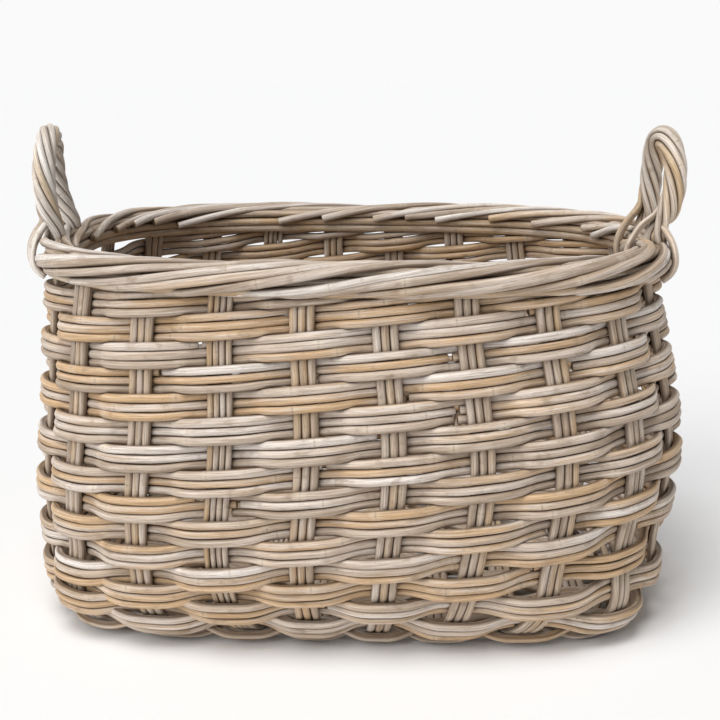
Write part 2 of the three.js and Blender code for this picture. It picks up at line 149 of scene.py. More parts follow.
# Border, with places out from the stakes and up from the top of the wall
ROLL_MIDDLE = (1.0, 17.7)
ROLL_HALF = (14.8, 13.2)
ROLL_POWER = 2.4  # 2 is an ellipse
BORDER_ROD = 8.3
BORDER_ROD_SPREAD = (0.86, 1.06)
BORDER_RODS = 31
START_SPREAD = 0.2  # share of the distance between their starts
WRAP_STEP = 3.0
WRAP_MARKS = np.array([0, 35, 245, 300, 385])  # distances along a wrapping cane
WRAP_SPREAD = (0.85, 1.15)
WRAP_TURNS = (-84, -60, 64, 112)  # how far round the roll it has come at these, in degrees
LAST_TURN = 158  # and at least at its end
LAST_TURN_SPREAD = 35
TURN_SMOOTHING = 6
TURN_DRIFT = (90, 0.12)  # spacing and size
FIRST_LIFTS = (-5.0, -2.5, 0.0)  # how far it lies outside the roll at its start, one of these
LIFT_MARKS = (0, 50, 140)
WRAP_LIFTS = (-0.5, 1.4, -0.6, 1.2)  # and at the next marks
LIFT_DRIFT = (60, 1.2)
CORE_ROD = 8.4
CORE_STEP = 9
CORE_POINTS = 500
CORE_GAP = 2  # between a filling rod's ends
CORES = ((9, 8), (9.5, 16), (8, 24.5), (-7, 8), (-7.5, 16), (-6, 24.5), (1, 27))

# Roping
STRANDS = 7
STRAND = 6.6
STRAND_STEP = 2.0
STRAND_RING_STEP = 3.5
STRAND_INWARD = 0.4  # so that no swelling reaches past the roping's thickness
ROPE_PITCH = 136  # length of one turn of a strand round the handle
FOOT_LEAN = 7  # how far the roping's feet stand to the outside of the border
ROPE_SUNK = 14  # and how deep they reach into it
LACE_START = ROPE_SUNK + 18  # from a strand's end to where its lace leaves the leg
LACE_FANNED = 3  # points over which laces fan out

# The way from a leg down over the border and in under it: round from the leg, up from the wall's top and out
LACE_OUTSIDE = (
    (-2, 48, 12),
    (-5, 39, 18),
    (-8, 29, 23),
    (-10, 17, 25),
    (-11, 7, 24),
    (-11, 0, 19),
    (-11, -4, 11),
)
LACE_LOOSE = (
    (-3, 47, 15),
    (-6, 39, 22),
    (-8, 29, 27),
    (-9, 17, 28),
    (-9, 7, 26),
    (-9, 0, 20),
    (-9, -3, 12),
)
LACE_INSIDE = (
    (-1, 48, -4),
    (-4, 39, -11),
    (-7, 29, -18),
    (-9, 17, -21),
    (-10, 7, -21),
    (-11, 0, -17),
    (-11, -2, -11),
)
LACES = {  # for each handle, those of the near leg and those of the far leg: inside, then outside
    "left": (([], [LACE_OUTSIDE, LACE_LOOSE]), ([], [LACE_OUTSIDE])),
    "right": (([LACE_INSIDE], [LACE_OUTSIDE] * 3), ([LACE_INSIDE] * 2, [LACE_OUTSIDE])),
}

# Steps of curves
PROFILE_STEPS = 400
QUARTER_STEPS = 2000
RIM_STEPS = 1200
ARCH_POINTS = 400
NUDGE = 1e-3

# Camera and light
CAMERA_PLACE = (0.0556, -1.3077, 0.5268)
CAMERA_TOWARD = (-0.041, 0.973, -0.226)
CAMERA_LENS = 66.9
SENSOR_WIDTH = 36
WORLD_LIGHT = 0.22
FLOOR_HALF = 20.0  # metres
METRE = 1000  # in millimetres

ROUND = np.arange(SIDES) / SIDES * 2 * math.pi
CHANCE = np.random.default_rng(41)


def unit(vectors):
    return vectors / np.linalg.norm(vectors, axis=-1, keepdims=True)


def lengths_along(points):
    steps = np.linalg.norm(np.diff(points, axis=0), axis=1)
    return np.concatenate([[0.0], np.cumsum(steps)])


def smooth_step(value):
    value = np.clip(value, 0, 1)
    return value**2 * (3 - 2 * value)


# The wall


def bezier(corners):
    share = np.linspace(0, 1, PROFILE_STEPS + 1)[:, None]
    rest = 1 - share
    a, b, c, d = (np.array(corner, float) for corner in corners)
    return rest**3 * a + 3 * rest**2 * share * b + 3 * rest * share**2 * c + share**3 * d


def wall_profile():
    """Points up the wall as half-length and height, and how far up the bulge is."""
    lower = bezier(
        [
            (BASE_HALF_LENGTH, BASE_HEIGHT),
            (BASE_HALF_LENGTH + BASE_BEND_REACH, BASE_HEIGHT),
            (BULGE_HALF_LENGTH, BULGE_HEIGHT - LOWER_BULGE_RISE),
            (BULGE_HALF_LENGTH, BULGE_HEIGHT),
        ]
    )
    upper = bezier(
        [
            (BULGE_HALF_LENGTH, BULGE_HEIGHT),
            (BULGE_HALF_LENGTH, BULGE_HEIGHT + UPPER_BULGE_RISE),
            (TOP_HALF_LENGTH + TOP_LEAN, TOP_HEIGHT - TOP_LEAN_RISE),
            (TOP_HALF_LENGTH, TOP_HEIGHT),
        ]
    )
    return np.vstack([lower, upper[1:]]), lengths_along(lower)[-1]


PROFILE, BULGE_UP = wall_profile()
PROFILE_UP = lengths_along(PROFILE)
PROFILE_LENGTH = PROFILE_UP[-1]
WALL_TOP = PROFILE_LENGTH - BORDER_HEIGHT
ROW_PITCH = (WALL_TOP - FIRST_ROW) / ROW_COUNT


def profile_at(up):
    """Half-length and height at a distance up the wall; past the ends the profile goes straight on."""
    up = np.asarray(up, float)
    inside = np.clip(up, 0, PROFILE_LENGTH)
    point = np.stack([np.interp(inside, PROFILE_UP, PROFILE[:, i]) for i in (0, 1)], -1)
    first = unit(PROFILE[1] - PROFILE[0])
    last = unit(PROFILE[-1] - PROFILE[-2])
    past = (up - inside)[..., None]
    return point + past * np.where(past > 0, last, first)


def wall_point(angle, up):
    """A place on the middle of the stakes, at an angle round the basket and a distance up the wall."""
    angle, up = np.broadcast_arrays(np.asarray(angle, float), np.asarray(up, float))
    profile = profile_at(up)
    half_length, height = profile[..., 0], profile[..., 1]
    eased = smooth_step(height / DEPTH_EASE)
    less = (BASE_LENGTH_OVER_DEPTH - LENGTH_OVER_DEPTH) * eased
    half_depth = half_length - BASE_LENGTH_OVER_DEPTH + less
    rounded = smooth_step(height / SQUARENESS_EASE)
    power = BASE_SQUARENESS + (SQUARENESS - BASE_SQUARENESS) * rounded
    across = np.abs(np.cos(angle) / half_length) ** power
    along = np.abs(np.sin(angle) / half_depth) ** power
    reach = (across + along) ** (-1 / power)
    swayed = np.clip((height - SWAY_START) / (SWAY_END - SWAY_START), 0, 1)
    sway = SWAY * (1 - np.cos(2 * math.pi * swayed)) / 2
    return np.stack([reach * np.cos(angle) + sway, reach * np.sin(angle), height], -1)


def wall_frame(angle, up):
    """A place on the wall with its directions: round the basket, up the wall and outward."""
    angle, up = np.broadcast_arrays(np.asarray(angle, float), np.asarray(up, float))
    ahead = unit(wall_point(angle + NUDGE, up) - wall_point(angle - NUDGE, up))
    away = np.cross(ahead, (0, 0, 1.0))
    slope = unit(profile_at(up + NUDGE) - profile_at(up - NUDGE))
    rise = away * slope[..., :1] + np.array((0, 0, 1.0)) * slope[..., 1:]
    out = away * slope[..., 1:] - np.array((0, 0, 1.0)) * slope[..., :1]
    return wall_point(angle, up), ahead, rise, out


def stake_angles():
    """The stakes' angles, which lie at even distances round the bulge."""
    angle = np.linspace(0, math.pi / 2, QUARTER_STEPS + 1)
    girth = lengths_along(wall_point(angle, BULGE_UP))
    wanted = (np.arange(STAKES // 4) + 0.5) / (STAKES / 4) * girth[-1]
    quarter = angle[np.searchsorted(girth, wanted)]
    half = np.concatenate([quarter, (math.pi - quarter)[::-1]])
    return np.concatenate([half, (2 * math.pi - half)[::-1]])


ANGLES = stake_angles()
TURNS = np.concatenate([ANGLES - 2 * math.pi, ANGLES, ANGLES + 2 * math.pi])


def angle_at(place):
    """The angle at a place round the basket, counted in stakes."""
    return np.interp(place, np.arange(len(TURNS)) - STAKES, TURNS)


def beside_stake(stake, up, ahead, out):
    point, round_way, _, out_way = wall_frame(ANGLES[stake % STAKES], up)
    return point + round_way * np.asarray(ahead)[..., None] + out_way * np.asarray(out)[..., None]


def row_edge(row, angle):
    """Distance up the wall of the lower edge of a row."""
    tilt = min(1, row / TILTING_ROWS) * ROW_TILT
    tilted = tilt * wall_point(angle, WALL_TOP)[..., 0] / TOP_HALF_LENGTH
    return FIRST_ROW + ROW_PITCH * (row + tilted)


def weave(place):
    """From outside the stakes, 1, to inside them, -1, once for each stake, with a flat stretch at each."""
    wave = np.cos(math.pi * place)
    return wave * (1.5 - 0.5 * wave**2)


# Rods


def wander(length, spacing, size):
    """A smooth, seeded drift along a rod."""
    count = int(length[-1] / spacing) + 3
    values = CHANCE.uniform(-size, size, count)
    position = length / spacing
    low = np.floor(position).astype(int)
    share = position - low
    share = share * share * (3 - 2 * share)
    return values[low] * (1 - share) + values[low + 1] * share


def smooth(values, reach):
    """Evens out a row of points over a number of samples on each side."""
    weights = np.exp(-0.5 * (np.arange(-2 * reach, 2 * reach + 1) / reach) ** 2)
    weights /= weights.sum()
    first = 2 * values[:1] - values[2 * reach:0:-1]
    last = 2 * values[-1:] - values[-2:-2 * reach - 2:-1]
    padded = np.vstack([first, values, last])
    return np.stack([np.convolve(padded[:, i], weights, "valid") for i in range(values.shape[1])], 1)


def resample(points, step):
    length = lengths_along(points)
    count = max(3, int(round(length[-1] / step)) + 1)
    wanted = np.linspace(0, length[-1], count)
    return np.stack([np.interp(wanted, length, points[:, i]) for i in range(points.shape[1])], 1)


def rod(points, facing, diameter, step=RING_STEP, loose=LOOSE):
    """A tube along points, whose first side faces the given way. Its tone is how pale and how tan it is."""
    both = resample(np.hstack([points, facing]), step)
    centre, facing = both[:, :3], both[:, 3:]
    length = lengths_along(centre)
    ahead = unit(np.gradient(centre, axis=0))
    out = unit(facing - ahead * np.sum(facing * ahead, 1)[:, None])
    side = np.cross(ahead, out)
    fade = np.clip(np.minimum(length, length[-1] - length) / STRAIGHT_END, 0, 1)[:, None]
    centre = centre + out * wander(length, OUT_SPACING, loose)[:, None] * fade
    centre = centre + side * wander(length, SIDE_SPACING, loose)[:, None] * fade
    tone = (CHANCE.uniform(), CHANCE.uniform())
    knots = CHANCE.uniform(*KNOT_SPACING)
    start = CHANCE.uniform(0, 1000)
    from_knot = (length + start + knots / 2) % knots - knots / 2
    knot = KNOT_SWELL * np.exp(-((from_knot / KNOT_LENGTH) ** 2))
    radius = diameter / 2 * (1 + wander(length, SWELL_SPACING, SWELL) + knot)
    spoke = np.cos(ROUND)[None, :, None] * out[:, None] + np.sin(ROUND)[None, :, None] * side[:, None]
    grain = np.zeros((len(centre), SIDES, 3))
    grain[..., 0] = (length + start)[:, None]
    grain[..., 1] = np.cos(ROUND) * radius[:, None]
    grain[..., 2] = np.sin(ROUND) * radius[:, None]
    return {
        "rings": centre[:, None] + radius[:, None, None] * spoke,
        "centre": centre,
        "ahead": ahead,
        "radius": radius,
        "length": length,
        "grain": grain,
        "kind": (*tone, knots),
    }


def rod_verts(made):
    """A rod's rings, then for each end its lip and the middle of the cut."""
    verts, grains = [made["rings"].reshape(-1, 3)], [made["grain"].reshape(-1, 3)]
    for end, way in ((0, -1), (-1, 1)):
        centre, reach = made["centre"][end], made["ahead"][end] * way * made["radius"][end]
        lip = centre + (made["rings"][end] - centre) * LIP + reach * LIP_OUT
        verts += [lip, centre[None] + reach * CUT_OUT]
        grains += [made["grain"][end] * (1, LIP, LIP), made["grain"][end][:1] * (1, 0, 0)]
    cut = np.zeros(sum(map(len, verts)))
    cut[-2 * SIDES - 2:] = 1
    return np.vstack(verts), np.vstack(grains), cut


def rod_faces(count):
    """Side faces and end faces of a rod with so many rings, as corner numbers."""
    j = np.arange(SIDES)
    k = (j + 1) % SIDES
    low = np.arange(count - 1)[:, None] * SIDES
    quads = [np.stack([low + j, low + k, low + k + SIDES, low + j + SIDES], -1).reshape(-1, 4)]
    tris = []
    for end in (0, 1):
        ring = end * (count - 1) * SIDES
        lip = count * SIDES + end * (SIDES + 1)
        first, second = (j, k) if end else (k, j)
        quads.append(np.stack([ring + first, ring + second, lip + second, lip + first], -1))
        tris.append(np.stack([lip + first, lip + second, np.full(SIDES, lip + SIDES)], -1))
    return np.vstack(quads), np.vstack(tris)


def cut_places(radius, middle, end):
    """Places of the corners of a cut end's faces, those round its edge and those inside."""
    turn = np.stack([np.cos(ROUND), np.sin(ROUND)], -1) * radius
    first, second = (turn, np.roll(turn, -1, 0)) if end else (np.roll(turn, -1, 0), turn)
    edge = middle + np.stack([first, second, second * LIP, first * LIP], 1)
    inside = middle + np.stack([first * LIP, second * LIP, first * 0], 1)
    return edge, inside


def unrolled(rods):
    """Places of all face corners, in the order of the faces, on a square with the rods unrolled."""
    cuts_length = 40
    spare = 1.03
    height = 2 * math.pi * max(made["radius"].max() for made in rods) + STRIP_GAP
    total = sum(made["length"][-1] + cuts_length for made in rods)
    width = math.sqrt(total * height * spare)
    across, row = 0.0, 0
    quad_parts, tri_parts = [], []
    for made in rods:
        girth = 2 * math.pi * made["radius"].mean()
        low = np.arange(SIDES) / SIDES * girth
        high = low + girth / SIDES
        for step in np.diff(made["length"]):
            if across + step > width:
                across, row = 0.0, row + 1
            left, right, base = across, across + step, row * height
            corners = [(left, low), (left, high), (right, high), (right, low)]
            quad_parts.append(np.stack([np.stack([np.full(SIDES, x), base + y], -1) for x, y in corners], 1))
            across += step
        for end in (0, 1):
            radius = made["radius"][-end]
            taken = 2 * radius + 2 * STRIP_GAP
            if across + taken > width:
                across, row = 0.0, row + 1
            middle = np.array((across + radius + STRIP_GAP, row * height + height / 2))
            across += taken
            edge, inside = cut_places(radius, middle, end)
            quad_parts.append(edge)
            tri_parts.append(inside)
    side = max(width, (row + 1) * height)
    return np.vstack(quad_parts) / side, np.vstack(tri_parts) / side


def make_piece(name, rods, material, nodes):
    """One object from rods, which stands for the CAD nodes named."""
    verts, grains, cuts, kinds, quads, tris = [], [], [], [], [], []
    total = 0
    for made in rods:
        points, its_grain, its_cut = rod_verts(made)
        its_quads, its_tris = rod_faces(len(made["rings"]))
        verts.append(points)
        grains.append(its_grain)
        cuts.append(its_cut)
        kinds.append(np.tile(made["kind"], (len(points), 1)))
        quads.append(its_quads + total)
        tris.append(its_tris + total)
        total += len(points)
    mesh = bpy.data.meshes.new(name)
    faces = np.vstack(quads).tolist() + np.vstack(tris).tolist()
    places = np.vstack(verts) - (ORIGIN_SHIFT, 0, 0)
    mesh.from_pydata((places / METRE).tolist(), [], faces)
    mesh.polygons.foreach_set("use_smooth", np.ones(len(faces), bool))
    for key, values, form, field in (
        ("grain", np.vstack(grains), "FLOAT_VECTOR", "vector"),
        ("kind", np.vstack(kinds), "FLOAT_VECTOR", "vector"),
        ("cut", np.concatenate(cuts), "FLOAT", "value"),
    ):
        mesh.attributes.new(key, form, "POINT").data.foreach_set(field, values.ravel())
    corners = np.vstack([part.reshape(-1, 2) for part in unrolled(rods)])
    mesh.uv_layers.new(name="OFBake").uv.foreach_set("vector", corners.ravel())
    mesh.materials.append(material)
    mesh.update()
    piece = bpy.data.objects.new(name, mesh)
    bpy.context.scene.collection.objects.link(piece)
    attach(piece, "root")
    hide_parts(*nodes)


# Materials


def srgb(text):
    """A linear colour from six hexadecimal digits."""
    parts = [int(text[i:i + 2], 16) / 255 for i in (0, 2, 4)]
    return [p / 12.92 if p <= 0.04045 else ((p + 0.055) / 1.055) ** 2.4 for p in parts] + [1.0]


WHITE = srgb("fafafa")
COOL_WHITE = srgb("f8f9fb")

# Colours that all rattan here shares
DULL = srgb("ae9b87")
DARK_STREAK = srgb("9a8571")
PALE_STREAK = srgb("f0e8e0")
DARK_FIBRE = srgb("80694f")
PALE_FIBRE = srgb("f2eae0")
PATCH = srgb("8b745c")
HAIR = srgb("7a6048")
SPECK = srgb("54402e")
KNOT = srgb("e2d3bd")
KNOT_LINE = srgb("6a5340")
PITH = srgb("d3bf9d")
DARK_PITH = srgb("9a7c58")
# Painted shade on rods' sides, where they lie against their neighbours
GROOVE_SHADE = srgb("64503c")
# Painted shade in creases, from a short ambient occlusion
CREASE_SHADE = srgb("3f2d1d")


class Graph:
    """Short calls to build a material's nodes."""

    def __init__(self, name):
        self.material = bpy.data.materials.new(name)
        self.material.use_nodes = True
        self.tree = self.material.node_tree
        self.tree.nodes.clear()

    def node(self, kind, inputs, **settings):
        made = self.tree.nodes.new(kind)
        for key, value in settings.items():
            setattr(made, key, value)
        for key, value in inputs.items():
            if isinstance(value, bpy.types.NodeSocket):
                self.tree.links.new(value, made.inputs[key])
            else:
                made.inputs[key].default_value = value
        return made

    def attribute(self, name, output="Vector"):
        return self.node("ShaderNodeAttribute", {}, attribute_name=name).outputs[output]

    def math(self, operation, a, b=0.0):
        return self.node("ShaderNodeMath", {0: a, 1: b}, operation=operation).outputs[0]

    def scaled(self, vector, by):
        return self.node("ShaderNodeVectorMath", {0: vector, 1: by}, operation="MULTIPLY").outputs[0]

    def noise(self, vector, detail, roughness=0.5):
        inputs = {"Vector": vector, "Scale": 1.0, "Detail": detail, "Roughness": roughness}
        return self.node("ShaderNodeTexNoise", inputs).outputs[0]

    def drawn_out(self, grain, seed, along, across, detail, roughness=0.5):
        """Noise drawn out along the grain."""
        stretched = self.scaled(grain, (along, across, across))
        moved = self.node("ShaderNodeVectorMath", {0: stretched, 1: seed}, operation="ADD").outputs[0]
        return self.noise(moved, detail, roughness)

    def step(self, value, low, high):
        """0 below low, 1 above high, and smooth between."""
        inputs = {"Value": value, "From Min": low, "From Max": high}
        return self.node("ShaderNodeMapRange", inputs, interpolation_type="SMOOTHSTEP").outputs[0]

    def ranged(self, value, low, high, to_low, to_high):
        inputs = {"Value": value, "From Min": low, "From Max": high, "To Min": to_low, "To Max": to_high}
        return self.node("ShaderNodeMapRange", inputs).outputs[0]

    def mix(self, factor, a, b):
        return self.node("ShaderNodeMix", {0: factor, 6: a, 7: b}, data_type="RGBA").outputs[2]


def cane_colour(g, noises, tones, grey, pale, tan, pale_from, tan_from):
    """Grey, pale or tan in long stretches, with streaks, fibres, patches, hairs and specks."""
    paleness = g.math("ADD", g.math("MULTIPLY", tones[0], 0.4), g.math("MULTIPLY", noises["stretches"], 0.8))
    tanness = g.math("ADD", g.math("MULTIPLY", tones[1], 0.4), g.math("MULTIPLY", noises["tints"], 0.8))
    colour = g.mix(g.step(paleness, 0.30, 0.58), DULL, grey)
    colour = g.mix(g.step(paleness, pale_from, pale_from + 0.3), colour, pale)
    colour = g.mix(g.step(tanness, tan_from, tan_from + 0.3), colour, tan)
    colour = g.mix(g.ranged(noises["streaks"], 0.30, 0.50, 0.55, 0.0), colour, DARK_STREAK)
    colour = g.mix(g.ranged(noises["streaks"], 0.52, 0.72, 0.0, 0.55), colour, PALE_STREAK)
    colour = g.mix(g.ranged(noises["fibres"], 0.28, 0.55, 0.65, 0.0), colour, DARK_FIBRE)
    colour = g.mix(g.ranged(noises["fibres"], 0.55, 0.8, 0.0, 0.45), colour, PALE_FIBRE)
    colour = g.mix(g.ranged(noises["patches"], 0.42, 0.28, 0.0, 0.5), colour, PATCH)
    colour = g.mix(g.ranged(noises["hairs"], 0.42, 0.30, 0.0, 0.6), colour, HAIR)
    return g.mix(g.math("MULTIPLY", g.step(noises["specks"], 0.64, 0.72), 0.5), colour, SPECK)


def knotted(g, colour, along, knots, fibres):
    """The colour with a paler band and a faint dark line at each knot, and how strong that line is."""
    half = g.math("MULTIPLY", knots, 0.5)
    from_knot = g.math("SUBTRACT", g.math("MODULO", g.math("ADD", along, half), knots), half)
    from_knot = g.math("ABSOLUTE", from_knot)
    line = g.math("MULTIPLY", g.step(from_knot, 1.1, 0.3), g.step(fibres, 0.58, 0.40))
    colour = g.mix(g.math("MULTIPLY", g.step(from_knot, 7.0, 1.5), 0.22), colour, KNOT)
    return g.mix(g.math("MULTIPLY", line, 0.45), colour, KNOT_LINE), line


def with_painted_shade(g, colour, facing, groove_shade):
    """Painted shade: the colour darkened on a rod's sides, which lie against its neighbours, and in creases
    that ambient occlusion finds.
    """
    toward = g.math("DIVIDE", g.math("ABSOLUTE", facing), ROD / 2)
    # painted shade on the sides that lie against neighbouring rods
    colour = g.mix(g.math("MULTIPLY", g.step(toward, 0.78, 0.05), groove_shade), colour, GROOVE_SHADE)
    # painted shade in creases, where ambient occlusion finds close neighbours
    occlusion = g.node("ShaderNodeAmbientOcclusion", {"Distance": 0.006}, samples=4).outputs["AO"]
    return g.mix(g.ranged(occlusion, 0.08, 0.66, 0.9, 0.0), colour, CREASE_SHADE)


def rattan(name, grey, pale, tan, pale_from, tan_from, groove_shade):
    """Washed rattan cane. Higher pale_from and tan_from make these tones rarer; groove_shade sets how dark
    the painted shade on its sides is.
    """
    g = Graph(name)
    grain = g.attribute("grain")
    kind = g.attribute("kind")
    cut = g.attribute("cut", "Fac")
    own, own_tan, knots = g.node("ShaderNodeSeparateXYZ", {0: kind}).outputs
    along, facing, _ = g.node("ShaderNodeSeparateXYZ", {0: grain}).outputs
    seed = g.scaled(kind, (91.0, 57.0, 0.0))
    other_seed = g.scaled(kind, (23.0, 171.0, 0.0))
    noises = {
        "stretches": g.drawn_out(grain, seed, 0.009, 0.05, 2.0),
        "tints": g.drawn_out(grain, other_seed, 0.010, 0.10, 3.0, 0.6),
        "fibres": g.drawn_out(grain, seed, 0.030, 1.1, 5.0, 0.68),
        "streaks": g.drawn_out(grain, other_seed, 0.016, 0.55, 4.0, 0.6),
        "patches": g.drawn_out(grain, seed, 0.06, 0.10, 3.0, 0.55),
        "specks": g.drawn_out(grain, seed, 0.45, 0.8, 3.0, 0.6),
        "hairs": g.drawn_out(grain, other_seed, 0.040, 2.4, 2.0),
    }
    fibres = noises["fibres"]
    colour = cane_colour(g, noises, (own, own_tan), srgb(grey), srgb(pale), srgb(tan), pale_from, tan_from)
    colour, knot_line = knotted(g, colour, along, knots, fibres)
    pith = g.noise(g.scaled(grain, (0.0, 1.6, 1.6)), 2.0)
    colour = g.mix(cut, colour, g.mix(g.step(pith, 0.45, 0.6), PITH, DARK_PITH))
    # painted shade where neighbouring rods and creases would shade the cane
    colour = with_painted_shade(g, colour, facing, groove_shade)

    height = g.math("ADD", g.math("MULTIPLY", fibres, 0.8), g.math("MULTIPLY", knot_line, -0.4))
    bump = g.node("ShaderNodeBump", {"Strength": 0.4, "Distance": 0.0007, "Height": height}).outputs[0]
    roughness = g.ranged(fibres, 0.3, 0.7, 0.7, 0.5)
    inputs = {"Base Color": colour, "Roughness": roughness, "Normal": bump, "Specular IOR Level": 0.4}
    shader = g.node("ShaderNodeBsdfPrincipled", inputs)
    g.node("ShaderNodeOutputMaterial", {0: shader.outputs[0]})
    return g.material


# The last number sets how dark the painted shade on each rattan's sides is
WEAVER = rattan("weaver_rattan", "d1bfad", "efe6de", "d5b186", 0.54, 0.50, 0.8)
STAKE = rattan("stake_rattan", "c9b7a4", "e3d7cb", "d0b088", 0.58, 0.56, 0.6)
BORDER = rattan("border_rattan", "cfbfb0", "efe7df", "d5b48d", 0.50, 0.64, 0.8)
LEFT_HANDLE = rattan("left_handle_rattan", "efe5da", "faf5ee", "e6cfae", 0.42, 0.70, 0.25)
RIGHT_HANDLE = rattan("right_handle_rattan", "d9ccbe", "efe7de", "d3b48b", 0.50, 0.58, 0.6)

# Wall weavers and foot rods

PLACES = np.arange(STAKES * PER_STAKE) / PER_STAKE
PLACE_ANGLES = angle_at(PLACES)


def unbroken(fits):
    """Runs of True in a closed round, as arrays of indexes."""
    start = int(np.argmin(fits))
    order = np.roll(np.arange(len(fits)), -start)
    ends = np.flatnonzero(np.diff(np.concatenate([[0], fits[order].astype(int), [0]])))
    return [order[a:b] for a, b in zip(ends[::2], ends[1::2])]


def jointed(row):
    """The runs of a rod that goes all round in two or three lengths, which meet behind stakes."""
    joints = CHANCE.choice(STAKES // 2, int(CHANCE.integers(2, 4)), replace=False) * 2 + (row + FOOT_RODS) % 2
    joints = np.sort(joints * PER_STAKE + CHANCE.integers(-JOINT_SPREAD, JOINT_SPREAD + 1, len(joints)))
    runs = []
    for a, b in zip(joints, np.roll(joints, -1)):
        runs.append(np.arange(a + 1, b + (len(PLACES) if b <= a else 0)) % len(PLACES))
    return runs


def woven(row, up, runs, diameter):
    """Rods along runs of places round the wall, at distances up it, in and out of the stakes."""
    rods = []
    for run in runs:
        hidden = smooth_step((up[run] - WALL_TOP + HIDDEN_LENGTH / 2) / HIDDEN_LENGTH)
        swing = (SWING - WEAVER_INWARD) * (1 - HIDDEN_STRAIGHTER * hidden)
        swing = swing * weave(PLACES[run] + row + FOOT_RODS + 1)
        point, _, _, out = wall_frame(PLACE_ANGLES[run], up[run])
        rods.append(rod(point + out * swing[:, None], out, diameter * CHANCE.uniform(*WEAVER_SPREAD)))
    return rods


def weaver_rods(row):
    """The rods of one row: all round, or the stretches that fit under the border."""
    rods = []
    edge = row_edge(row, PLACE_ANGLES)
    spread = 1 + ROW_SPREAD * np.abs(weave(PLACES + row))
    for k in range(RODS_IN_BUNDLE):
        up = edge + ROW_PITCH * (0.5 + (k - 1) * spread / RODS_IN_BUNDLE)
        fits = up < WALL_TOP + UNDER_BORDER
        if fits.all():
            runs = jointed(row)
        else:
            runs = [run for run in unbroken(fits) if len(run) > 2 * PER_STAKE]
        rods += woven(row, up, runs, WEAVER_ROD)
    return rods


def foot_rods(number):
    """A rod of the foot, and a second one that lies inward, on the edge of the base."""
    rods = []
    for row in (number - FOOT_RODS, number - 2 * FOOT_RODS):
        up = np.full(len(PLACES), FOOT_START + (row + FOOT_RODS + 0.5) * FOOT_PITCH)
        rods += woven(row, up, jointed(row), ROD)
    return rods


row_names = sorted(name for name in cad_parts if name.startswith("wall_weaver_"))
for row, name in enumerate(row_names):
    make_piece("woven_row_%02d" % (row + 1), weaver_rods(row), WEAVER, [name])
for number in range(FOOT_RODS):
    name = "foot_rod_%d" % (number + 1)
    make_piece("foot_cane_%d" % (number + 1), foot_rods(number), WEAVER, [name])

# Stakes

SIDE_STAKES = STAKES // 2 - END_STAKES
CROSS_FRONTS = [STAKES - END_STAKES // 2 - SIDE_STAKES + i for i in range(SIDE_STAKES)]
CROSS_FEET = [wall_point(ANGLES[front], 0.0) for front in CROSS_FRONTS]


def wall_stretch(stake):
    """A stake's middle from the top of the wall down to the base, with its directions."""
    up = np.arange(PROFILE_LENGTH - CLEARANCE, 0, -PATH_STEP)
    return wall_frame(np.full(len(up), ANGLES[stake]), up)


def stake_path(first, second, base):
    """Points from one stake's top, along the base, to another's, with the ways sideways and out."""
    down, down_round, _, down_out = wall_stretch(first)
    rise, rise_round, _, rise_out = (part[::-1] for part in wall_stretch(second))
    turn = unit(base[-1] - base[0])
    across = np.tile(np.cross((0, 0, -1.0), turn), (len(base), 1))
    sign = np.sign(np.sum(down_round[-1] * across[0]))
    centre = np.vstack([down, base, rise])
    side = np.vstack([sign * down_round, across, -sign * rise_round])
    out = np.vstack([down_out, np.tile((0, 0, -1.0), (len(base), 1)), rise_out])
    both = smooth(resample(np.hstack([centre, side, out]), PATH_STEP), PATH_SMOOTHING)
    return both[:, :3], unit(both[:, 3:6]), unit(both[:, 6:])


def stake_rods(first, second, base):
    """A bundle from the top of one stake, along the base points, to the top of another."""
    centre, side, out = stake_path(first, second, base)
    centre = centre - out * STAKE_INWARD
    count = RODS_IN_BUNDLE + 1 if CHANCE.uniform() < FOUR_RODS else RODS_IN_BUNDLE
    width = BUNDLE / count
    rods = []
    for k in range(count):
        offset = (k + 0.5) * width - BUNDLE / 2
        rods.append(rod(centre + side * offset, out, width * CHANCE.uniform(*STAKE_SPREAD), loose=CLOSE))
    return rods


def straight_reach(foot):
    """How far from the middle a cross stake still runs straight on the base."""
    return abs(foot[1]) - CROSSING


def base_row(y, starts_over, width):
    """Points along the base, over and under the cross stakes."""
    points = []
    for i, foot in enumerate(CROSS_FEET):
        if straight_reach(foot) < abs(y) + width / 2:
            continue
        over = (i % 2 == 0) == starts_over
        height = BASE_HEIGHT + (SWING if over else BASE_LIFT - SWING)
        points += [(foot[0] - CROSSING * FLAT_SHARE, y, height), (foot[0] + CROSSING * FLAT_SHARE, y, height)]
    return np.array(points)


for i, front in enumerate(CROSS_FRONTS):
    foot = CROSS_FEET[i]
    y = np.linspace(-straight_reach(foot), straight_reach(foot), BASE_POINTS)
    base = np.stack([np.full(BASE_POINTS, foot[0]), y, np.full(BASE_POINTS, BASE_HEIGHT)], 1)
    rods = stake_rods(front, STAKES - 1 - front, base)
    make_piece("upright_bundle_%d" % (i + 1), rods, STAKE, ["cross_stake_%d" % (i + 1)])

length_places = []
for i in range(END_STAKES):
    right = (STAKES - END_STAKES // 2 + i) % STAKES
    left = (STAKES + STAKES // 2 - 1 - right) % STAKES
    length_places.append(wall_point(ANGLES[right], 0.0)[1])
    base = resample(base_row(length_places[i], False, BUNDLE), PATH_STEP)
    rods = stake_rods(left, right, base)
    make_piece("lengthwise_bundle_%d" % (i + 1), rods, STAKE, ["length_stake_%d" % (i + 1)])

# Base rows


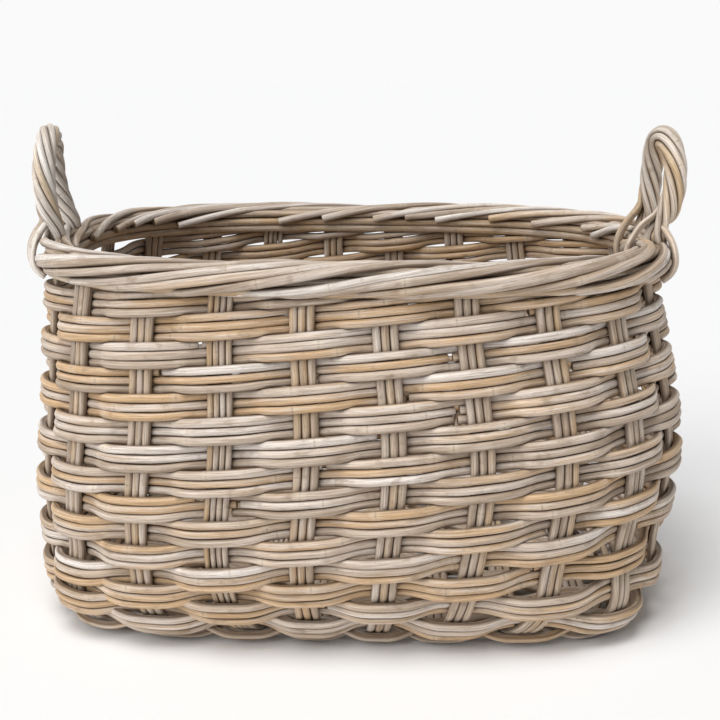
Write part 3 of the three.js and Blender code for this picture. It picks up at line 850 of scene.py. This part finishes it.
def base_row_rods(start, end):
    """The rods that fill a space between two lengthwise stakes, or beside the outer ones."""
    width = BASE_FILL * (end - start)
    row = base_row((start + end) / 2, True, width)
    tails = [row[0] - (WEAVER_TAIL, 0, 0), row[-1] + (WEAVER_TAIL, 0, 0)]
    line = smooth(resample(np.vstack([tails[:1], row, tails[1:]]), BASE_STEP), PATH_SMOOTHING)
    down = np.tile((0, 0, -1.0), (len(line), 1))
    rods = []
    for k in range(BASE_ROW_RODS):
        offset = ((k + 0.5) / BASE_ROW_RODS - 0.5) * width
        rods.append(rod(line + (0, offset, 0), down, BASE_ROD, loose=CLOSE))
    return rods


base_reach = straight_reach(CROSS_FEET[1])
space_starts = [-base_reach] + [y + BUNDLE / 2 for y in length_places]
space_ends = [y - BUNDLE / 2 for y in length_places] + [base_reach]
for i, (start, end) in enumerate(zip(space_starts, space_ends)):
    rods = base_row_rods(start, end)
    make_piece("base_row_%d" % (i + 1), rods, STAKE, ["base_weaver_%d" % (i + 1)])

# Border

RIM_PLACES = np.linspace(0, STAKES, RIM_STEPS + 1)
RIM_LENGTHS = lengths_along(wall_point(angle_at(RIM_PLACES), WALL_TOP + BORDER_HEIGHT / 2))
RIM = RIM_LENGTHS[-1]


def rim_path(distance, out, up):
    """Points at distances round the rim, out from the stakes and up from the wall's top; ways up and out."""
    place = np.interp(distance % RIM, RIM_LENGTHS, RIM_PLACES)
    point, _, rise, out_way = wall_frame(angle_at(place), WALL_TOP)
    return point + out_way * np.asarray(out)[..., None] + rise * np.asarray(up)[..., None], rise, out_way


def border_rod(start):
    """A rod that climbs the outside of the border, goes over the top and ends inside."""
    marks = WRAP_MARKS * CHANCE.uniform(*WRAP_SPREAD)
    turns = np.radians([*WRAP_TURNS, LAST_TURN + CHANCE.uniform(0, LAST_TURN_SPREAD)])
    distance = np.arange(0, marks[-1], WRAP_STEP)
    turn = smooth(np.interp(distance, marks, turns)[:, None], TURN_SMOOTHING)[:, 0]
    turn = turn + wander(distance, *TURN_DRIFT)
    lift = np.interp(distance, [*LIFT_MARKS, *marks[3:]], [CHANCE.choice(FIRST_LIFTS), *WRAP_LIFTS])
    lift = lift + wander(distance, *LIFT_DRIFT)
    reach = (np.abs(np.cos(turn)) ** ROLL_POWER + np.abs(np.sin(turn)) ** ROLL_POWER) ** (-1 / ROLL_POWER)
    out = ROLL_MIDDLE[0] + (ROLL_HALF[0] * reach + lift) * np.cos(turn)
    up = ROLL_MIDDLE[1] + (ROLL_HALF[1] * reach + lift) * np.sin(turn)
    path, rise, out_way = rim_path(start + distance, out, up)
    facing = out_way * np.cos(turn)[:, None] + rise * np.sin(turn)[:, None]
    return rod(path, facing, BORDER_ROD * CHANCE.uniform(*BORDER_ROD_SPREAD), loose=CLOSE)


def border_core(out, up):
    """A rod inside the border that goes all round."""
    distance = np.linspace(0, RIM - CORE_GAP, CORE_POINTS) + CHANCE.uniform(0, RIM)
    path, _, out_way = rim_path(distance, out, up)
    return rod(path, out_way, CORE_ROD, step=CORE_STEP)


wraps = []
for j in range(BORDER_RODS):
    wraps.append(border_rod(RIM * (j + CHANCE.uniform(-START_SPREAD, START_SPREAD)) / BORDER_RODS))
make_piece("border_canes", wraps, BORDER, ["border_outer_roll", "border_top_roll"])
cores = [border_core(out, up) for out, up in CORES]
make_piece("border_filling", cores, STAKE, ["border_inner_roll"])

# Handles


def space_after(stake):
    """Distance from where one stake's crossing ends to where the next one's begins."""
    ends = beside_stake(stake, WALL_TOP, CROSSING, 0.0), beside_stake(stake + 1, WALL_TOP, -CROSSING, 0.0)
    return np.linalg.norm(ends[1] - ends[0])


NEAR_SPACE = STAKES - 2
FAR_SPACE = STAKES - 1
NEAR_DISTANCE = NEAR_LEG * space_after(NEAR_SPACE)
FAR_DISTANCE = FAR_LEG * space_after(FAR_SPACE)
LEGS = ((NEAR_SPACE, NEAR_DISTANCE), (FAR_SPACE, FAR_DISTANCE))


def on_border(stake, distance, up, out):
    """A place on the border, at a distance round it from where a stake's crossing ends."""
    space = space_after(stake)
    if distance < 0:
        return beside_stake(stake, WALL_TOP + up, CROSSING + distance, out)
    if distance > space:
        return beside_stake(stake + 1, WALL_TOP + up, distance - space - CROSSING, out)
    start = beside_stake(stake, WALL_TOP + up, CROSSING, out)
    end = beside_stake(stake + 1, WALL_TOP + up, -CROSSING, out)
    return start + (end - start) * distance / space


def handle_line(lean, turn):
    """The feet of the right handle's bow, the middle line of its roping and the way it faces."""
    feet = [on_border(stake, distance, 2 * CLEARANCE, 0.0) for stake, distance in LEGS]
    tops = [on_border(stake, distance, CAP_TOP + CLEARANCE, 0.0) for stake, distance in LEGS]
    up = unit(tops[0] - feet[0])
    out = unit(np.cross(unit(tops[1] - tops[0]), up))
    angle = np.linspace(0, math.pi, ARCH_POINTS)[:, None]
    power = 2 / HANDLE_ROUNDNESS
    side = np.sign(np.cos(angle)) * np.abs(np.cos(angle)) ** power
    share = np.abs(np.sin(angle)) ** power
    arch = tops[0] + (tops[1] - tops[0]) * (1 - side) / 2 + up * HANDLE_RISE * share
    leant = 1 - (1 - share) ** LEAN_STEEPNESS
    arch = arch + out * ((lean + turn * side) * leant + FOOT_LEAN * (1 - leant))
    sunk = [arch[end] - up * ROPE_SUNK for end in (0, -1)]
    return feet, np.vstack([sunk[:1], arch, sunk[1:]]), out


def lace(leg, route, shift):
    """Points from a leg's strands to a lace's end. Laces lie before the near leg and after the far one."""
    stake, distance = LEGS[leg]
    way = -1 if leg == 0 else 1
    points = []
    for i, (ahead, up, out) in enumerate(route):
        spread = shift * min(1, i / LACE_FANNED)
        points.append(on_border(stake, distance - way * (ahead + spread), up, float(out)))
    return points


def rope_angle(turn, length):
    """The way a strand points from the bow, from outward, at a length along it; the roping is left-handed."""
    return turn - 2 * math.pi * length / ROPE_PITCH


def strand(arch, out, turn, routes):
    """One strand of the roping round the bow, with its lace at each leg where it has one."""
    line = resample(arch, STRAND_STEP)
    length = lengths_along(line)
    ahead = unit(np.gradient(line, axis=0))
    side = unit(out - ahead * (ahead @ out)[:, None])
    other = np.cross(ahead, side)
    angle = rope_angle(turn, length)
    way = side * np.cos(angle)[:, None] + other * np.sin(angle)[:, None]
    path = line + way * ((HANDLE_THICKNESS - STRAND) / 2 - STRAND_INWARD)
    keep = np.ones(len(line), bool)
    for end in (0, -1):
        if routes[end]:
            keep &= np.abs(length - length[end]) > LACE_START
    pieces = [np.array(routes[0][::-1]), path[keep], np.array(routes[-1])]
    points = np.vstack([piece for piece in pieces if len(piece)])
    points = smooth(resample(points, STRAND_STEP), PATH_SMOOTHING)
    nearest = np.argmin(np.linalg.norm(points[:, None] - line[None], axis=2), axis=1)
    return points, unit(points - line[nearest])


def lace_routes(side, arch, turns, mirror):
    """For each strand its lace at the near and at the far leg, which is empty where it has none."""
    length = lengths_along(arch)[-1]
    routes = [[[], []] for _ in turns]
    for leg, leaves in enumerate((LACE_START, length - LACE_START)):
        inner, outer = LACES[side][leg]
        order = sorted(range(STRANDS), key=lambda k: math.cos(rope_angle(turns[k], leaves)))
        for i, (k, route) in enumerate(zip(order, inner)):
            routes[k][leg] = [point * mirror for point in lace(leg, route, STRAND * i)]
        for i, (k, route) in enumerate(zip(order[-len(outer):], outer)):
            routes[k][leg] = [point * mirror for point in lace(leg, route, STRAND * (i - 1))]
    return routes


def make_handle(side, lean, turn, material):
    feet, arch, out = handle_line(lean, turn)
    mirror = np.array((-1 if side == "left" else 1, 1, 1))
    arch, out = arch * mirror, out * mirror
    turns = [2 * math.pi * k / STRANDS for k in range(STRANDS)]
    rods = []
    for start, routes in zip(turns, lace_routes(side, arch, turns, mirror)):
        points, facing = strand(arch, out, start, routes)
        rods.append(rod(points, facing, STRAND, step=STRAND_RING_STEP, loose=CLOSE))
    nodes = ["%s_handle_%s" % (side, part) for part in ("roping", "front_lashing", "back_lashing")]
    make_piece(side + "_handle_strands", rods, material, nodes)
    bow = resample(np.vstack([feet[0] * mirror, arch, feet[1] * mirror]), PATH_STEP)
    core = rod(bow, np.tile(out, (len(bow), 1)), ROD, loose=BOW_LOOSE)
    make_piece(side + "_handle_core", [core], material, [side + "_handle_bow"])


make_handle("left", LEFT_LEAN, LEFT_TURN, LEFT_HANDLE)
make_handle("right", RIGHT_LEAN, RIGHT_TURN, RIGHT_HANDLE)

# Floor, light and camera


def matt_white():
    g = Graph("floor_white")
    matt = g.node("ShaderNodeBsdfDiffuse", {"Color": WHITE})
    g.node("ShaderNodeOutputMaterial", {0: matt.outputs[0]})
    return g.material


def make_floor():
    mesh = bpy.data.meshes.new("floor")
    corners = [(x * FLOOR_HALF, y * FLOOR_HALF, 0) for x, y in ((-1, -1), (1, -1), (1, 1), (-1, 1))]
    mesh.from_pydata(corners, [], [(0, 1, 2, 3)])
    mesh.materials.append(matt_white())
    floor = bpy.data.objects.new("floor", mesh)
    bpy.context.scene.collection.objects.link(floor)


def make_world():
    """A soft light all round, and the white that camera, glossy and transmission rays see."""
    world = bpy.data.worlds.new("studio")
    bpy.context.scene.world = world
    world.use_nodes = True
    nodes, links = world.node_tree.nodes, world.node_tree.links
    nodes.clear()
    light = nodes.new("ShaderNodeBackground")
    light.inputs["Color"].default_value = COOL_WHITE
    light.inputs["Strength"].default_value = WORLD_LIGHT
    seen = nodes.new("ShaderNodeBackground")
    seen.inputs["Color"].default_value = WHITE
    seen.inputs["Strength"].default_value = 1.0
    path = nodes.new("ShaderNodeLightPath").outputs
    looking = path["Is Camera Ray"]
    for other in ("Is Glossy Ray", "Is Transmission Ray"):
        both = nodes.new("ShaderNodeMath")
        both.operation = "MAXIMUM"
        links.new(looking, both.inputs[0])
        links.new(path[other], both.inputs[1])
        looking = both.outputs[0]
    mix = nodes.new("ShaderNodeMixShader")
    output = nodes.new("ShaderNodeOutputWorld")
    links.new(looking, mix.inputs[0])
    links.new(light.outputs[0], mix.inputs[1])
    links.new(seen.outputs[0], mix.inputs[2])
    links.new(mix.outputs[0], output.inputs[0])


def make_sun(name, toward, strength, spread):
    """A soft light from far away; a strength of 1 lights a facing surface at its own brightness."""
    lamp = bpy.data.lights.new(name, "SUN")
    lamp.energy = strength * math.pi
    lamp.angle = math.radians(spread)
    obj = bpy.data.objects.new(name, lamp)
    obj.rotation_euler = (-Vector(toward)).to_track_quat("-Z", "Y").to_euler()
    bpy.context.scene.collection.objects.link(obj)


def make_camera():
    camera = bpy.data.cameras.new("camera")
    camera.sensor_width = SENSOR_WIDTH
    camera.lens = CAMERA_LENS
    obj = bpy.data.objects.new("camera", camera)
    obj.location = CAMERA_PLACE
    obj.rotation_euler = Vector(CAMERA_TOWARD).to_track_quat("-Z", "Y").to_euler()
    bpy.context.scene.collection.objects.link(obj)
    bpy.context.scene.camera = obj


make_floor()
make_world()
make_sun("top_sun", (-0.12, -0.27, 0.955), 0.54, 34)
make_sun("front_sun", (-0.42, -0.66, 0.62), 0.34, 40)
make_sun("side_sun", (-0.80, -0.53, 0.28), 0.22, 40)
make_camera()
bpy.context.scene.view_settings.view_transform = "Standard"
